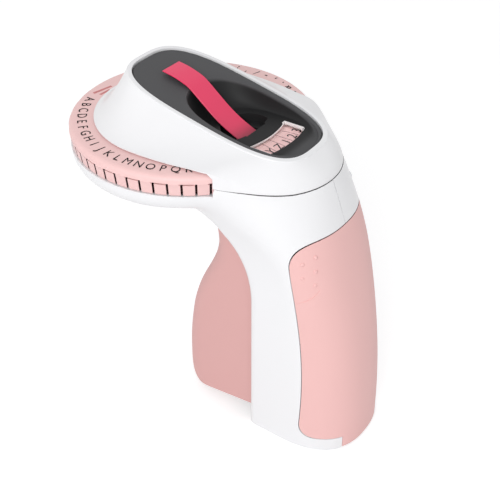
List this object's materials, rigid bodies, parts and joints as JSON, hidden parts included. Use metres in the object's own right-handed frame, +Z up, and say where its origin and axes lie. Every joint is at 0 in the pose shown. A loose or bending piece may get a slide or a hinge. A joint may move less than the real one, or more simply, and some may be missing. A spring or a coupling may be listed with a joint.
{
  "type": "embossing label maker",
  "caption": "Hand-held embossing label maker: turning character dial on top, squeeze lever in front, tape compartment in the handle and a label strip coming out of the top.",
  "frame": {"origin": "on the surface the tool stands on, below the middle of its length and width", "axes": "+Z up, +X towards the rear of the handle (palm side), -X towards the dial's nose, Y across the tool"},
  "size_m": [0.1199, 0.0844, 0.1267],
  "materials": {
    "white_shell": "satin",
    "pink_shell": "fine matt",
    "dial_plastic": "fine matt",
    "black_plastic": "satin",
    "clear_plastic": "clear",
    "grey_plastic": "matt",
    "tape_vinyl": "gloss",
    "soft_rubber": "matt",
    "dark_steel": "plain",
    "bright_steel": "bright"
  },
  "bodies": {
    "frame": {"body_left": "white_shell", "body_right": "white_shell", "top_cover": "white_shell", "top_insert": "black_plastic", "window_lens": "clear_plastic", "bearing_ring": "grey_plastic", "detent_spring": "bright_steel", "lever_pin": "bright_steel", "lever_spring": "dark_steel", "tape_guide": "bright_steel", "chassis": "dark_steel", "base_plate": "dark_steel", "label_tape": "tape_vinyl", "reel_axle": "bright_steel", "pressure_shaft": "bright_steel", "insert_screw_1": "bright_steel", "insert_screw_2": "bright_steel", "insert_screw_3": "bright_steel", "bearing_screw_1": "bright_steel", "bearing_screw_2": "bright_steel", "bearing_screw_3": "bright_steel", "cover_screw_1": "bright_steel", "cover_screw_2": "bright_steel", "foot_screw_1": "bright_steel", "foot_screw_2": "bright_steel", "foot_screw_3": "bright_steel", "foot_screw_4": "bright_steel", "body_screw": "bright_steel"},
    "dial": {"dial_ring": "dial_plastic"},
    "lever": {"squeeze_lever": "pink_shell", "lever_crossbar": "bright_steel", "feed_pawl": "bright_steel"},
    "press": {"press_plunger": "dark_steel", "anvil_pad": "soft_rubber", "cutter_blade": "bright_steel"},
    "feed": {"feed_shaft": "bright_steel", "feed_roller": "soft_rubber", "ratchet_wheel": "bright_steel"},
    "pressure": {"pressure_roller": "grey_plastic"},
    "reel": {"tape_reel": "grey_plastic", "tape_roll": "tape_vinyl"},
    "cover": {"grip_cover": "pink_shell"}
  },
  "joints": [
    {"name": "dial_turn", "type": "hinge", "parent": "frame", "child": "dial", "pos_m": [-0.0178, 0, 0.107], "axis": [0, 0, 1], "continuous": true},
    {"name": "lever_squeeze", "type": "hinge", "parent": "frame", "child": "lever", "pos_m": [0.0085, 0, 0.0925], "axis": [0, -1, 0], "range_deg": [0, 11], "stiffness_Nm_per_rad": 1.5, "springref_deg": -8.59},
    {"name": "press_slide", "type": "slide", "parent": "frame", "child": "press", "axis": [0, 0, 1], "range_m": [0, 0.0013]},
    {"name": "feed_turn", "type": "hinge", "parent": "frame", "child": "feed", "pos_m": [0.0244, 0, 0.0856], "axis": [0, 1, 0], "continuous": true},
    {"name": "pressure_turn", "type": "hinge", "parent": "frame", "child": "pressure", "pos_m": [0.0164, 0, 0.0856], "axis": [0, 1, 0], "continuous": true},
    {"name": "reel_turn", "type": "hinge", "parent": "frame", "child": "reel", "pos_m": [0.0337, 0, 0.064], "axis": [0, 1, 0], "continuous": true},
    {"name": "cover_pull", "type": "slide", "parent": "frame", "child": "cover", "axis": [1, 0, 0], "range_m": [0, 0.03]}
  ],
  "couplings": [
    {"joint": "press_slide", "follows": "lever_squeeze", "m_per_rad": 0.00677}
  ]
}
